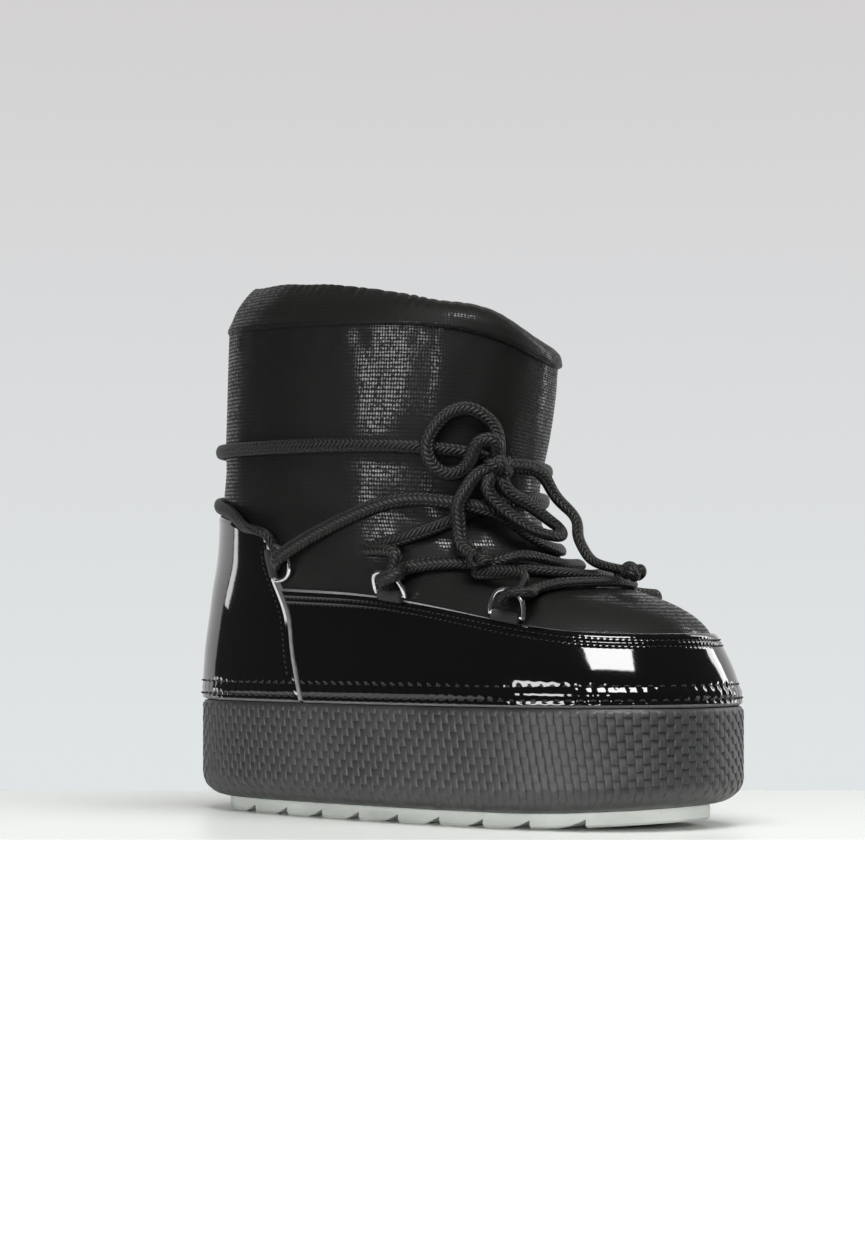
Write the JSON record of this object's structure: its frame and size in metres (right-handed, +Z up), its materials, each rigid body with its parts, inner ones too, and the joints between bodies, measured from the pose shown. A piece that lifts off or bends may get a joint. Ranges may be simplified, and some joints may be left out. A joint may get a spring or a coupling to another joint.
{
  "type": "apres ski boot",
  "caption": "Low lace-up snow boot: hollow fabric upper with gathered collar, patent mudguard and heel counter, D-rings and wrapped cord lace on a platform sole.",
  "frame": {"origin": "on the floor under the middle of the boot's outline; the tread's heel and forefoot stand on z = 0", "axes": "+X to the toe, +Y to the inner (medial) side of this right boot, +Z up"},
  "size_m": [0.28, 0.1322, 0.2447],
  "materials": {
    "outsole": "matt pale grey tread rubber",
    "midsole": "moulded charcoal rubber with a woven brick relief",
    "insole": "black felt over foam",
    "upper": "black coated weave with a slight sheen",
    "cuff": "matt black gathered fabric",
    "patent": "black patent, mirror gloss",
    "metal": "polished silver wire",
    "webbing": "dark grey webbing",
    "lace": "black braided cord"
  },
  "bodies": {
    "root": {"outsole": "outsole", "midsole": "midsole", "insole": "insole", "upper": "upper", "mudguard": "patent", "heel_counter": "patent", "cuff": "cuff", "d_ring_rear_outer": "metal", "ring_tab_rear_outer": "webbing", "d_ring_rear_inner": "metal", "ring_tab_rear_inner": "webbing", "d_ring_middle_outer": "metal", "ring_tab_middle_outer": "webbing", "d_ring_middle_inner": "metal", "ring_tab_middle_inner": "webbing", "d_ring_front_outer": "metal", "ring_tab_front_outer": "webbing", "d_ring_front_inner": "metal", "ring_tab_front_inner": "webbing", "lace_crossings": "lace", "lace_knot": "lace", "lace_loop_outer": "lace", "lace_loop_inner": "lace", "lace_end_outer": "lace", "lace_end_inner": "lace", "end_knot_outer": "lace", "end_knot_inner": "lace"}
  },
  "joints": []
}
